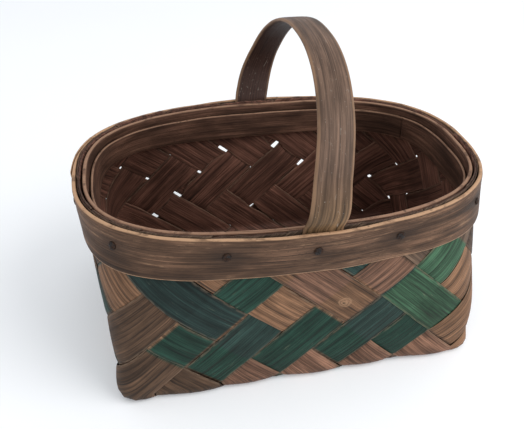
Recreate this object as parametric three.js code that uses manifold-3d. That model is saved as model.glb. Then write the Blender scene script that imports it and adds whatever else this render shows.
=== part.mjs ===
// Gathering basket: a bias-plaited body of eighteen wide wood splints, gripped at
// the rim between bent hoops and carried by a fixed bow handle.
// Millimetres, +Z up. The origin is the centre of the rim, dropped to the ground:
// +X runs along the basket's length and -Y is its front wall.

import * as THREE from 'three';
import { mergeVertices } from 'three/addons/utils/BufferGeometryUtils.js';
import Module from 'manifold-3d';

// ---- driving dimensions ----
const RIM_HEIGHT = 187;
const RIM_HALF_LENGTH = 193.6;
const RIM_HALF_WIDTH = 121.5;
const BASE_HALF_LENGTH = 177.5;
const BASE_HALF_WIDTH = 123.4;
const BASE_SHIFT = 3.8;
const RIM_ROUNDNESS = 2.6;
const BASE_ROUNDNESS = 9;
const FOOT_SHARPNESS = 14;
const FOLD_RADIUS = 9;

const LONG_CELLS = 5;
const SHORT_CELLS = 4;
const WALL_LEVELS = 6;
const LEVEL_RISE = 29.3;
const EDGE_RISE = 6.8;
const FRONT_CELL = { base: 58.2, rim: 64 };
const FRONT_CENTRE = { base: 7.5, rim: 9 };

const SPLINT_THICKNESS = 1.2;
const SPLINT_CLEARANCE = 0.3;
const SPLINT_SHARE = 0.92;

const HOOP_HEIGHT = 41;
const HOOP_THICKNESS = 4;
const BAND_THICKNESS = 2.4;
const BAND_TOP = 177;
const BAND_BOTTOM = 147;
const LAP_LENGTH = 64;
const LAP_TIP = 1.2;
const GAP = 0.45;
const OUTER_GAP = 1;
const INNER_GAP = 1.6;

const HANDLE_WIDTH = 31;
const HANDLE_FOOT_WIDTH = 36;
const FRONT_FOOT_SHIFT = 9;
const BACK_FOOT_SHIFT = -2.5;
const HANDLE_THICKNESS = 5;
const HANDLE_FOOT_THICKNESS = 3.4;
const HANDLE_FOOT = 151;
const HANDLE_X = -2;
const HANDLE_LEAN_X = 0.256;
const HANDLE_LEAN_Y = 0.108;

const NAIL_RADIUS = 1.1;
const NAIL_HEAD_RADIUS = 4;
const NAIL_HEAD_THICKNESS = 1.4;
const NAIL_DROP = 17;

// ---- derived sizes ----
const AROUND = 2 * (LONG_CELLS + SHORT_CELLS);
const HALF_LONG = LONG_CELLS / 2;
const HALF_SHORT = SHORT_CELLS / 2;
const LAYER = (SPLINT_THICKNESS + SPLINT_CLEARANCE) / 2;
const SANDWICH = LAYER + SPLINT_THICKNESS / 2;
const HOOP_BOTTOM = RIM_HEIGHT - HOOP_HEIGHT;

const wasm = await Module();
wasm.setup();

const mix = (a, b, t) => a + (b - a) * t;
const clamp = (v, low, high) => Math.min(high, Math.max(low, v));
const smooth = (low, high, v) => {
  const t = clamp((v - low) / (high - low), 0, 1);
  return t * t * (3 - 2 * t);
};
const wrap = (v, period) => ((v % period) + period) % period;

// ---- the body's surface ----

// The plan outline at height z: a boxy rounded rectangle at the ground that turns
// into the rim's oval, measured by arc length from the middle of the front.
const outlines = new Map();

function outline(z) {
  const key = Math.round(z * 4) / 4;
  if (outlines.has(key)) {
    return outlines.get(key);
  }
  const t = clamp(key / RIM_HEIGHT, 0, 1);
  const halfX = mix(BASE_HALF_LENGTH, RIM_HALF_LENGTH, t);
  const halfY = mix(BASE_HALF_WIDTH, RIM_HALF_WIDTH, t);
  const body = mix(RIM_ROUNDNESS, BASE_ROUNDNESS, (1 - t) ** 1.5);
  const power = body + FOOT_SHARPNESS * (1 - t) ** 4;
  const steps = 720;
  const points = [];
  const lengths = [0];
  for (let i = 0; i <= steps; i += 1) {
    const angle = -Math.PI / 2 + (2 * Math.PI * i) / steps;
    const c = Math.abs(Math.cos(angle) / halfX) ** power;
    const s = Math.abs(Math.sin(angle) / halfY) ** power;
    const radius = (c + s) ** (-1 / power);
    points.push([radius * Math.cos(angle), radius * Math.sin(angle)]);
    if (i > 0) {
      const [x0, y0] = points[i - 1];
      const [x1, y1] = points[i];
      lengths.push(lengths[i - 1] + Math.hypot(x1 - x0, y1 - y0));
    }
  }
  const made = { points, lengths, total: lengths[steps], shift: BASE_SHIFT * (1 - t), t };
  outlines.set(key, made);
  return made;
}

// Plan point at a distance along the outline from the middle of the front.
function alongOutline(shape, distance) {
  const d = wrap(distance, shape.total);
  let low = 0;
  let high = shape.lengths.length - 1;
  while (high - low > 1) {
    const middle = (low + high) >> 1;
    if (shape.lengths[middle] > d) {
      high = middle;
    } else {
      low = middle;
    }
  }
  const f = (d - shape.lengths[low]) / (shape.lengths[high] - shape.lengths[low]);
  const a = shape.points[low];
  const b = shape.points[high];
  return [mix(a[0], b[0], f), mix(a[1], b[1], f)];
}

// Distance along the outline of lattice position s, counted in cells anticlockwise
// from the front's left lattice corner. Cells are a little wider on the long walls.
function arcOf(shape, s) {
  const sigma = s - HALF_LONG;
  const front = mix(FRONT_CELL.base, FRONT_CELL.rim, clamp(shape.t * 1.8, 0, 1));
  const mean = shape.total / AROUND;
  const swing = ((front - mean) * AROUND) / (4 * Math.PI);
  const centre = mix(FRONT_CENTRE.base, FRONT_CENTRE.rim, shape.t) - shape.shift;
  return centre + mean * sigma + swing * Math.sin((4 * Math.PI * sigma) / AROUND);
}

// The rounded fold between base and wall: inset and height at a distance tau along
// the profile, zero at the middle of the fold and growing up the wall.
function profile(tau) {
  const reach = (FOLD_RADIUS * Math.PI) / 4;
  if (tau <= -reach) {
    return [-tau - reach + FOLD_RADIUS, 0];
  }
  if (tau >= reach) {
    return [0, tau - reach + FOLD_RADIUS];
  }
  const angle = tau / FOLD_RADIUS + Math.PI / 4;
  return [FOLD_RADIUS * (1 - Math.sin(angle)), FOLD_RADIUS * (1 - Math.cos(angle))];
}

// Half extent of the base across lattice position s, from the long wall's to the end's.
function reachOf(s) {
  const turn = 0.5 - 0.5 * Math.cos((4 * Math.PI * (s - HALF_LONG)) / AROUND);
  return mix(BASE_HALF_WIDTH, BASE_HALF_LENGTH, turn);
}

function shell(s, tau) {
  const [inset, z] = profile(tau);
  const shape = outline(z);
  const [x, y] = alongOutline(shape, arcOf(shape, s));
  const scale = 1 - inset / reachOf(s);
  return new THREE.Vector3(x * scale + shape.shift, y * scale, z + SANDWICH);
}

function wallPoint(s, level) {
  return shell(s, EDGE_RISE + level * LEVEL_RISE);
}

// Base point at lattice (p, q), both counted in cells from the middle.
function basePoint(p, q) {
  const share = Math.max(Math.abs(p) / HALF_LONG, Math.abs(q) / HALF_SHORT);
  const x = p * mix(62, BASE_HALF_LENGTH / HALF_LONG, share * share);
  const y = q * mix(60, BASE_HALF_WIDTH / HALF_SHORT, share * share);
  const inner = new THREE.Vector3(x + FRONT_CENTRE.base, y, SANDWICH);
  if (share < 0.3) {
    return inner;
  }
  const u = p / share;
  const v = q / share;
  let s = HALF_LONG + u;
  if (Math.abs(u) >= HALF_LONG - 1e-9 && Math.abs(v) < HALF_SHORT - 1e-9) {
    s = u > 0 ? LONG_CELLS + HALF_SHORT + v : -(HALF_SHORT + v);
  } else if (v > 0) {
    s = LONG_CELLS + SHORT_CELLS + HALF_LONG - u;
  }
  const depth = (1 - share) * (reachOf(s) + EDGE_RISE - FOLD_RADIUS * (1 - Math.PI / 4));
  const outer = shell(s, EDGE_RISE - depth);
  return inner.lerp(outer, smooth(0.3, 0.95, share));
}

// ---- closed bodies and cuts ----

function closedBody(vertices, faces) {
  const geometry = new THREE.BufferGeometry();
  const flat = vertices.flatMap((v) => [v.x, v.y, v.z]);
  geometry.setAttribute('position', new THREE.Float32BufferAttribute(flat, 3));
  let volume = 0;
  faces.forEach(([a, b, c]) => {
    volume += vertices[a].dot(vertices[b].clone().cross(vertices[c]));
  });
  const ordered = volume < 0 ? faces.map(([a, b, c]) => [a, c, b]) : faces;
  geometry.setIndex(ordered.flat());
  return geometry;
}

function toSolid(geometry) {
  const bare = geometry.clone();
  bare.deleteAttribute('normal');
  bare.deleteAttribute('uv');
  const merged = mergeVertices(bare, 1e-4);
  return new wasm.Manifold(new wasm.Mesh({
    numProp: 3,
    vertProperties: new Float32Array(merged.attributes.position.array),
    triVerts: new Uint32Array(merged.index.array),
  }));
}

function fromSolid(solid) {
  const mesh = solid.getMesh();
  const geometry = new THREE.BufferGeometry();
  geometry.setAttribute('position', new THREE.BufferAttribute(mesh.vertProperties, 3));
  geometry.setIndex(new THREE.BufferAttribute(mesh.triVerts, 1));
  return geometry;
}

// ---- the weave ----

// Whether the strip rising anticlockwise lies outside at each level above the base edge.
const RISING_OUTSIDE = {
  front: [0, 1, 1, 0, 1, 0, 1],
  right: [1, 0, 1, 1, 0, 1, 0],
  back: [0, 0, 1, 1, 0, 0, 1],
  left: [1, 0, 1, 1, 0, 1, 0],
};

// Cells where the weaver broke the wall's rhythm, keyed by strip and level.
const WEAVER_CHANGES = { '3 2': 0, '3 3': 1, '0 4': 0, '17 2': 0, '16 3': 1, '16 4': 0, '15 3': 0, '4 1': 1 };

function wallOf(s) {
  const at = wrap(s, AROUND);
  if (at < LONG_CELLS) {
    return 'front';
  }
  if (at < LONG_CELLS + SHORT_CELLS) {
    return 'right';
  }
  return at < 2 * LONG_CELLS + SHORT_CELLS ? 'back' : 'left';
}

function risingOutside(strip, level) {
  const change = WEAVER_CHANGES[`${wrap(strip, AROUND)} ${level}`];
  if (change !== undefined) {
    return change === 1;
  }
  return RISING_OUTSIDE[wallOf(strip + 0.5 + level / 2)][level] === 1;
}

// A splint of set 1 keeps p - q equal to its number and one of set 2 keeps p + q.
// Its other lattice coordinate, called along, runs from one base edge to the other.
function makeSplint(set, number) {
  const low = Math.max(number - SHORT_CELLS, -LONG_CELLS - number);
  const high = Math.min(number + SHORT_CELLS, LONG_CELLS - number);
  return { set, number, low, high };
}

function latticeAt(splint, along, across) {
  const own = splint.number + across;
  const q = splint.set === 1 ? (along - own) / 2 : (own - along) / 2;
  return { p: (own + along) / 2, q };
}

// The base edge that this end of the splint folds over, and where it crosses it.
function edgeOf(splint, along) {
  const atLow = along < (splint.low + splint.high) / 2;
  const { p, q } = latticeAt(splint, atLow ? splint.low : splint.high, 0);
  if (Math.abs(q) > HALF_SHORT - 0.01) {
    const s = q < 0 ? HALF_LONG + p : LONG_CELLS + SHORT_CELLS + HALF_LONG - p;
    return { wall: q < 0 ? 'front' : 'back', s, atLow };
  }
  const s = p > 0 ? LONG_CELLS + HALF_SHORT + q : -(HALF_SHORT + q);
  return { wall: p > 0 ? 'right' : 'left', s, atLow };
}

// Lattice point unfolded on to the wall this end climbs: position around the body and
// level above the base edge, or a level below zero on the base.
function unfold(splint, along, across) {
  const { p, q } = latticeAt(splint, along, across);
  const { wall } = edgeOf(splint, along);
  if (wall === 'front' || wall === 'back') {
    const s = wall === 'front' ? HALF_LONG + p : LONG_CELLS + SHORT_CELLS + HALF_LONG - p;
    return { p, q, s, level: 2 * (Math.abs(q) - HALF_SHORT) };
  }
  const s = wall === 'right' ? LONG_CELLS + HALF_SHORT + q : -(HALF_SHORT + q);
  return { p, q, s, level: 2 * (Math.abs(p) - HALF_LONG) };
}

function surfacePoint(splint, along, across) {
  const { p, q, s, level } = unfold(splint, along, across);
  return level > 0 ? wallPoint(s, level) : basePoint(p, q);
}

const BODY_MIDDLE = new THREE.Vector3(0, 0, RIM_HEIGHT / 2);

function surfaceNormal(splint, along, across) {
  const step = 0.01;
  const here = surfacePoint(splint, along, across);
  const a = surfacePoint(splint, along + step, across).sub(surfacePoint(splint, along - step, across));
  const b = surfacePoint(splint, along, across + step).sub(surfacePoint(splint, along, across - step));
  const normal = a.cross(b).normalize();
  const outward = here.clone().sub(BODY_MIDDLE);
  return normal.dot(outward) < 0 ? normal.negate() : normal;
}

// Whether the splint lies on the outside where it passes cell number "along".
function liesOutside(splint, along) {
  const beyond = Math.max(splint.low - along, along - splint.high);
  if (beyond < 0) {
    const first = splint.set === 1 ? splint.number : along;
    const second = splint.set === 1 ? along : splint.number;
    return (wrap(first + second, 4) < 2) === (splint.set === 1);
  }
  const edge = edgeOf(splint, along);
  const onLongWall = edge.wall === 'front' || edge.wall === 'back';
  const strip = Math.floor(edge.s);
  const rising = onLongWall === (splint.set === 2);
  return rising ? risingOutside(strip, beyond) : !risingOutside(strip - beyond, beyond);
}

// Grid divisions of a cell: fine round the base fold, single on the flat base.
function divisionsAt(splint, along) {
  const { p, q, level } = unfold(splint, along, 0);
  if (level > 0.5) {
    return 2;
  }
  const inside = Math.min(2 * (HALF_LONG - Math.abs(p)), 2 * (HALF_SHORT - Math.abs(q)));
  return inside < 1.5 ? 3 : 2;
}

// A splint is a closed ribbon built cell by cell. Inside a cell its grid matches the
// crossing splint's grid, so the two stay parallel; it changes sides between cells.
function splintBody(splint) {
  const half = SPLINT_SHARE / 2;
  const vertices = [];
  const faces = [];
  const addVertex = (point, normal, offset) => {
    vertices.push(point.clone().addScaledVector(normal, offset));
    return vertices.length - 1;
  };

  const rows = [];
  for (let cell = splint.low - WALL_LEVELS; cell <= splint.high + WALL_LEVELS; cell += 1) {
    const divisions = divisionsAt(splint, cell);
    const side = liesOutside(splint, cell) ? LAYER : -LAYER;
    const { p, q, level } = unfold(splint, cell, 0);
    const { wall } = edgeOf(splint, cell);
    const climbing = level > -0.5;
    const longSide = climbing
      ? wall === 'front' || wall === 'back'
      : Math.abs(q) / HALF_SHORT > Math.abs(p) / HALF_LONG;
    for (let i = 0; i <= divisions; i += 1) {
      const along = cell - half + (i / divisions) * SPLINT_SHARE;
      const row = { cell, longSide, points: [] };
      for (let j = 0; j <= divisions; j += 1) {
        const across = -half + (j / divisions) * SPLINT_SHARE;
        if (unfold(splint, along, across).level > WALL_LEVELS + 1e-6) {
          row.points.push(null);
          continue;
        }
        const point = surfacePoint(splint, along, across);
        const normal = surfaceNormal(splint, along, across);
        row.points.push({
          across,
          outer: addVertex(point, normal, side + SPLINT_THICKNESS / 2),
          inner: addVertex(point, normal, side - SPLINT_THICKNESS / 2),
        });
      }
      rows.push(row);
    }
  }

  const addFacet = (a, b, c) => {
    if (a && b && c) {
      faces.push([a.outer, b.outer, c.outer], [a.inner, c.inner, b.inner]);
    }
  };
  const addSide = (a, b) => {
    faces.push([a.outer, b.inner, b.outer], [a.outer, a.inner, b.inner]);
  };
  const present = (row) => row.points.filter((point) => point);

  for (let i = 0; i + 1 < rows.length; i += 1) {
    const a = rows[i];
    const b = rows[i + 1];
    if (a.cell === b.cell) {
      for (let j = 0; j + 1 < a.points.length; j += 1) {
        const [a0, a1, b0, b1] = [a.points[j], a.points[j + 1], b.points[j], b.points[j + 1]];
        if (a.longSide) {
          addFacet(a0, b1, b0);
          addFacet(a0, a1, b1);
        } else {
          addFacet(a0, a1, b0);
          addFacet(a1, b1, b0);
        }
      }
    } else {
      let j = 0;
      let k = 0;
      while (j + 1 < a.points.length || k + 1 < b.points.length) {
        const nextA = j + 1 < a.points.length ? a.points[j + 1].across : Infinity;
        const nextB = k + 1 < b.points.length ? b.points[k + 1].across : Infinity;
        if (nextA <= nextB) {
          addFacet(a.points[j], a.points[j + 1], b.points[k]);
          j += 1;
        } else {
          addFacet(a.points[j], b.points[k + 1], b.points[k]);
          k += 1;
        }
      }
    }
    const [pa, pb] = [present(a), present(b)];
    addSide(pb[0], pa[0]);
    addSide(pa[pa.length - 1], pb[pb.length - 1]);
  }
  return closedBody(vertices, faces);
}

// ---- rim hoops ----

// Point on the wall's middle surface at height z, a share of the way round from the
// middle of the front, moved outward by offset.
function wallAt(share, z, offset) {
  const shape = outline(z - SANDWICH);
  const distance = share * shape.total;
  const [x, y] = alongOutline(shape, distance);
  const [x0, y0] = alongOutline(shape, distance - 1);
  const [x1, y1] = alongOutline(shape, distance + 1);
  const length = Math.hypot(x1 - x0, y1 - y0);
  const nx = (y1 - y0) / length;
  const ny = -(x1 - x0) / length;
  return new THREE.Vector3(x + nx * offset + shape.shift, y + ny * offset, z);
}

// The straight-sided rim zone that the hoops follow.
function rimAt(share, z, offset) {
  const low = wallAt(share, HOOP_BOTTOM, offset);
  const high = wallAt(share, RIM_HEIGHT, offset);
  return low.lerp(high, (z - HOOP_BOTTOM) / HOOP_HEIGHT);
}

// How far the outer hoop stands off where it passes over a handle leg.
function legBulge(share) {
  const point = wallAt(share, RIM_HEIGHT, 0);
  const away = Math.abs(point.x - HANDLE_X);
  if (Math.abs(point.y) < RIM_HALF_WIDTH / 2) {
    return 0;
  }
  const extra = HANDLE_FOOT_THICKNESS + 2 * GAP - OUTER_GAP;
  return extra * (1 - smooth(HANDLE_WIDTH * 0.62, 75, away));
}

// A hoop is one bent strip whose two ends are scarfed and lie over each other.
function hoopBody({ inner, thickness, top, bottom, lapAt, bulge, ease }) {
  const total = outline(RIM_HEIGHT).total;
  const lap = LAP_LENGTH / total;
  const turns = [];
  const fine = 5;
  for (let i = 0; i <= fine; i += 1) {
    turns.push((i / fine) * lap);
  }
  const steps = 60;
  for (let i = 1; i < steps; i += 1) {
    turns.push(lap + (i / steps) * (1 - lap));
  }
  for (let i = 0; i <= fine; i += 1) {
    turns.push(1 + (i / fine) * lap);
  }
  const vertices = [];
  turns.forEach((turn) => {
    const share = lapAt + turn;
    const base = inner + (bulge ? legBulge(share) : 0);
    let low = base;
    let high = base + thickness;
    if (turn <= lap) {
      high = base + mix(LAP_TIP, thickness, turn / lap) - GAP / 2;
    }
    if (turn >= 1) {
      low = base + mix(LAP_TIP, thickness, (turn - 1) / lap) + GAP / 2;
      high = base + thickness + mix(0, LAP_TIP, (turn - 1) / lap);
    }
    const e = Math.min(ease, (high - low) / 3);
    const eased = [
      [low + e, bottom],
      [high - e, bottom],
      [high, bottom + e],
      [high, top - e],
      [high - e, top],
      [low + e, top],
      [low, top - e],
      [low, bottom + e],
    ];
    const square = [[low, bottom], [high, bottom], [high, top], [low, top]];
    const section = ease > 0 ? eased : square;
    section.forEach(([offset, z]) => vertices.push(rimAt(share, z, offset)));
  });
  return sweptBody(vertices, ease > 0 ? 8 : 4, turns.length);
}

// Joins equal rings of vertices into a closed body with a fan at each end.
function sweptBody(vertices, size, rings) {
  const faces = [];
  for (let i = 0; i + 1 < rings; i += 1) {
    for (let j = 0; j < size; j += 1) {
      const k = (j + 1) % size;
      const [a, b] = [i * size + j, i * size + k];
      const [c, d] = [a + size, b + size];
      faces.push([a, b, d], [a, d, c]);
    }
  }
  const last = (rings - 1) * size;
  for (let j = 1; j + 1 < size; j += 1) {
    faces.push([0, j + 1, j], [last, last + j, last + j + 1]);
  }
  return closedBody(vertices, faces);
}

// ---- handle ----

// The bow in its own plane: out from between the hoops, wider than the rim, over the top.
function handleCurve() {
  const foot = (z, thickness) => {
    const y = Math.abs(wallAt(0, z, SANDWICH + GAP + thickness / 2).y);
    return [y, z];
  };
  const half = [
    foot(HANDLE_FOOT, HANDLE_FOOT_THICKNESS),
    foot(164, HANDLE_FOOT_THICKNESS),
    foot(177, HANDLE_FOOT_THICKNESS),
    foot(188, HANDLE_FOOT_THICKNESS),
    [129, 197],
    [133.4, 208],
    [135, 221],
    [131.8, 235],
    [124.2, 248],
    [110, 266],
    [90, 282],
    [64, 295],
    [33, 303],
  ];
  const front = half.map(([y, z]) => [-y, z]);
  const back = half.map(([y, z]) => [y, z]).reverse();
  return [...front, [0, 305.2], ...back].map(([y, z]) => {
    const rise = Math.max(0, z - RIM_HEIGHT);
    const settle = 1 - smooth(RIM_HEIGHT, 240, z);
    const shift = settle * (y < 0 ? FRONT_FOOT_SHIFT : BACK_FOOT_SHIFT);
    return new THREE.Vector3(HANDLE_X + shift + HANDLE_LEAN_X * rise, y + HANDLE_LEAN_Y * rise, z);
  });
}

function handleBody() {
  const curve = new THREE.CatmullRomCurve3(handleCurve(), false, 'centripetal');
  const steps = 48;
  const vertices = [];
  for (let i = 0; i <= steps; i += 1) {
    const at = i / steps;
    const centre = curve.getPoint(at);
    const tangent = curve.getTangent(at);
    const across = new THREE.Vector3(1, 0, 0).addScaledVector(tangent, -tangent.x).normalize();
    const outward = tangent.clone().cross(across).normalize();
    const thick = mix(HANDLE_FOOT_THICKNESS, HANDLE_THICKNESS, smooth(188, 202, centre.z)) / 2;
    const wide = mix(HANDLE_FOOT_WIDTH, HANDLE_WIDTH, smooth(190, 265, centre.z)) / 2;
    const e = 0.9;
    const section = [
      [-wide + e, -thick],
      [wide - e, -thick],
      [wide, -thick + e],
      [wide, thick - e],
      [wide - e, thick],
      [-wide + e, thick],
      [-wide, thick - e],
      [-wide, -thick + e],
    ];
    section.forEach(([w, t]) => {
      vertices.push(centre.clone().addScaledVector(across, w).addScaledVector(outward, t));
    });
  }
  return sweptBody(vertices, 8, steps + 1);
}

// ---- nails ----

// Distances along the rim from the middle of the front. Two go through the handle legs.
const NAILS = [2, 77, 172, 268, 366, 452, 546, 640, 730, 806, 881, 975];

function nailFrame(distance) {
  const z = RIM_HEIGHT - NAIL_DROP;
  const share = distance / outline(RIM_HEIGHT).total;
  const face = SANDWICH + OUTER_GAP + HOOP_THICKNESS + legBulge(share);
  const head = rimAt(share, z, face);
  const round = rimAt(share + 0.004, z, face).sub(rimAt(share - 0.004, z, face));
  const up = rimAt(share, z + 5, face).sub(rimAt(share, z - 5, face));
  const inward = up.cross(round).normalize();
  return { head, inward, depth: face + SANDWICH + INNER_GAP + HOOP_THICKNESS + BAND_THICKNESS };
}

function nailAlong(profilePoints, { head, inward }) {
  const geometry = new THREE.LatheGeometry(profilePoints, 8);
  geometry.rotateX(Math.PI);
  const up = new THREE.Vector3(0, 1, 0);
  const turn = new THREE.Quaternion().setFromUnitVectors(up, inward);
  geometry.applyQuaternion(turn);
  geometry.translate(head.x, head.y, head.z);
  return geometry;
}

function nailBody(frame) {
  const stand = 0.45;
  const points = [
    new THREE.Vector2(0, NAIL_HEAD_THICKNESS + stand),
    new THREE.Vector2(NAIL_HEAD_RADIUS * 0.6, NAIL_HEAD_THICKNESS * 0.85 + stand),
    new THREE.Vector2(NAIL_HEAD_RADIUS, NAIL_HEAD_THICKNESS * 0.3 + stand),
    new THREE.Vector2(NAIL_HEAD_RADIUS, stand),
    new THREE.Vector2(NAIL_RADIUS, stand),
    new THREE.Vector2(NAIL_RADIUS, -frame.depth - 0.6),
    new THREE.Vector2(0, -frame.depth - 1.6),
  ];
  return nailAlong(points.reverse(), frame);
}

function nailHole(frame) {
  const radius = NAIL_RADIUS + 0.4;
  const points = [
    new THREE.Vector2(0, 6),
    new THREE.Vector2(radius, 6),
    new THREE.Vector2(radius, -frame.depth - 6),
    new THREE.Vector2(0, -frame.depth - 6),
  ];
  return nailAlong(points.reverse(), frame);
}

// ---- assembly ----

const WOOD = (color, roughness) => new THREE.MeshStandardMaterial({ color, roughness, metalness: 0 });
const AGED_SPLINT = WOOD(0x7a5f4a, 0.8);
const PAINTED_SPLINT = WOOD(0x2f5a4a, 0.7);
const HOOP_WOOD = WOOD(0x7d6656, 0.78);
const HANDLE_WOOD = WOOD(0x8a7768, 0.75);
const IRON = new THREE.MeshStandardMaterial({ color: 0x4a4240, roughness: 0.7, metalness: 0.6 });

const basket = new THREE.Group();
const nailFrames = NAILS.map(nailFrame);
const holes = nailFrames.map((frame) => toSolid(nailHole(frame)));
const allHoles = holes.reduce((sum, hole) => sum.add(hole));

function addPiece(name, geometry, material) {
  const mesh = new THREE.Mesh(geometry, material);
  mesh.name = name;
  basket.add(mesh);
}

function addDrilled(name, geometry, material) {
  addPiece(name, fromSolid(toSolid(geometry).subtract(allHoles)), material);
}

const PAINTED = { first: [-1, 1, 2], second: [-4, -3, -2, -1, 1] };
const LAST = LONG_CELLS + SHORT_CELLS;
for (let i = 0; i < LAST; i += 1) {
  const number = i - (LAST - 1) / 2;
  [1, 2].forEach((set) => {
    const painted = (set === 1 ? PAINTED.first : PAINTED.second).includes(number);
    const material = painted ? PAINTED_SPLINT : AGED_SPLINT;
    const label = `splint_${set === 1 ? 'a' : 'b'}_${String(i + 1).padStart(2, '0')}`;
    addDrilled(label, splintBody(makeSplint(set, number)), material);
  });
}

addDrilled('rim_hoop_outer', hoopBody({
  inner: SANDWICH + OUTER_GAP,
  thickness: HOOP_THICKNESS,
  top: RIM_HEIGHT,
  bottom: HOOP_BOTTOM,
  lapAt: 0.686,
  bulge: true,
  ease: 0.9,
}), HOOP_WOOD);

addDrilled('rim_hoop_inner', hoopBody({
  inner: -SANDWICH - INNER_GAP - HOOP_THICKNESS,
  thickness: HOOP_THICKNESS - 0.2,
  top: RIM_HEIGHT - 0.5,
  bottom: HOOP_BOTTOM + 2,
  lapAt: 0.93,
  bulge: false,
  ease: 0.9,
}), HOOP_WOOD);

addDrilled('rim_band_inner', hoopBody({
  inner: -SANDWICH - INNER_GAP - GAP - HOOP_THICKNESS - BAND_THICKNESS - LAP_TIP,
  thickness: BAND_THICKNESS,
  top: BAND_TOP,
  bottom: BAND_BOTTOM,
  lapAt: 0.33,
  bulge: false,
  ease: 0,
}), HOOP_WOOD);

addDrilled('handle_bow', handleBody(), HANDLE_WOOD);

nailFrames.forEach((frame, i) => {
  addPiece(`rim_nail_${String(i + 1).padStart(2, '0')}`, nailBody(frame), IRON);
});

export default basket;
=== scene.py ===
# Plaited wood-splint gathering basket with bent rim hoops and a fixed bow handle.
import bpy
import math
import numpy as np
from mathutils import Matrix, Vector


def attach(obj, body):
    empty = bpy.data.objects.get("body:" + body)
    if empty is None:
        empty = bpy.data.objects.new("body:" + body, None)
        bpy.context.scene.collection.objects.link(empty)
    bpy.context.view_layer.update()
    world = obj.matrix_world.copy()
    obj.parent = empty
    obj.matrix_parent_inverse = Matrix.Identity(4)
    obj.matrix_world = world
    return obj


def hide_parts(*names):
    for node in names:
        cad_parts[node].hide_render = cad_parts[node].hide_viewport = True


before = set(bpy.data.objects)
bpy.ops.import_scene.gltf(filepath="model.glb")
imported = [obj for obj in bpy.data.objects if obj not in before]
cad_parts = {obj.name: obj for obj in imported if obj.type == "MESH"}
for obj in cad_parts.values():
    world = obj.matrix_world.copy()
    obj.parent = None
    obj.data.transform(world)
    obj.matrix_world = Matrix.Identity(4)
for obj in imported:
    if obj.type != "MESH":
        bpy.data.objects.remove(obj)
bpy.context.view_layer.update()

# ---- sizes, in millimetres, the same as the model's ----
RIM_HEIGHT = 187.0
RIM_HALF = (193.6, 121.5)
BASE_HALF = (177.5, 123.4)
BASE_SHIFT = 3.8
RIM_ROUNDNESS = 2.6
BASE_ROUNDNESS = 9.0
FOOT_SHARPNESS = 14.0
FOLD_RADIUS = 9.0
LONG_CELLS = 5
SHORT_CELLS = 4
WALL_LEVELS = 6
LEVEL_RISE = 29.3
EDGE_RISE = 6.8
FRONT_CELL = (58.2, 64.0)
FRONT_CENTRE = (7.5, 9.0)
SPLINT_THICKNESS = 1.2
LAYER = 0.75
SANDWICH = 1.35
HOOP_HEIGHT = 41.0
HOOP_BOTTOM = RIM_HEIGHT - HOOP_HEIGHT
HOOP_THICKNESS = 4.0
OUTER_GAP = 1.0
INNER_GAP = 1.6
GAP = 0.45
LAP_LENGTH = 64.0
LAP_TIP = 1.2
BAND_THICKNESS = 2.4
BAND_TOP = 177.0
BAND_BOTTOM = 147.0
HANDLE_WIDTH = 31.0
HANDLE_FOOT_WIDTH = 36.0
FRONT_FOOT_SHIFT = 9.0
BACK_FOOT_SHIFT = -2.5
HANDLE_THICKNESS = 5.0
HANDLE_FOOT_THICKNESS = 3.4
HANDLE_FOOT = 151.0
HANDLE_X = -2.0
HANDLE_LEAN = (0.256, 0.108)
NAIL_DROP = 17.0
NAILS = [2, 77, 172, 268, 366, 452, 546, 640, 730, 806, 881, 975]
AROUND = 2 * (LONG_CELLS + SHORT_CELLS)
HALF_LONG = LONG_CELLS / 2
HALF_SHORT = SHORT_CELLS / 2
MM = 0.001
# Outlines are kept for every whole millimetre, and read between two of them.
OUTLINE_SAMPLES = 192.0
HIGHEST_OUTLINE = 190.99
HANDLE_SETTLED = 240.0
HANDLE_NARROWING = (190.0, 265.0)
HANDLE_THICKENING = (188.0, 202.0)
HANDLE_TOP_WEAR = (285.0, 303.0)
BULGE_REACH = 75.0
STAIN_REACH = (17.0, 8.0)

rng = np.random.default_rng(7)


def mix(a, b, t):
    """From a to b as t goes from 0 to 1."""
    return a + (b - a) * t


def smooth(low, high, v):
    """0 at low, 1 at high, with a soft start and end."""
    t = np.clip((v - low) / (high - low), 0, 1)
    return t * t * (3 - 2 * t)


# ---- the body's surface ----

def outline_table():
    """Plan outlines for every millimetre of height, with arc lengths from the front."""
    heights = np.arange(0, OUTLINE_SAMPLES)
    t = np.clip(heights / RIM_HEIGHT, 0, 1)[:, None]
    half_x = mix(BASE_HALF[0], RIM_HALF[0], t)
    half_y = mix(BASE_HALF[1], RIM_HALF[1], t)
    power = mix(RIM_ROUNDNESS, BASE_ROUNDNESS, (1 - t) ** 1.5) + FOOT_SHARPNESS * (1 - t) ** 4
    angle = -math.pi / 2 + np.linspace(0, 2 * math.pi, 721)[None, :]
    c = np.abs(np.cos(angle) / half_x) ** power
    s = np.abs(np.sin(angle) / half_y) ** power
    radius = (c + s) ** (-1 / power)
    x = radius * np.cos(angle)
    y = radius * np.sin(angle)
    step = np.hypot(np.diff(x, axis=1), np.diff(y, axis=1))
    arc = np.concatenate([np.zeros((len(heights), 1)), np.cumsum(step, axis=1)], axis=1)
    return x, y, arc


OUTLINE_X, OUTLINE_Y, OUTLINE_ARC = outline_table()
RIM_LENGTH = float(OUTLINE_ARC[int(RIM_HEIGHT), -1])


def on_level(level, distance):
    """Plan point at an arc distance from the front's middle, at a whole millimetre of height."""
    arc = OUTLINE_ARC[level]
    d = np.mod(distance, arc[-1])
    return np.interp(d, arc, OUTLINE_X[level]), np.interp(d, arc, OUTLINE_Y[level])


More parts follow.
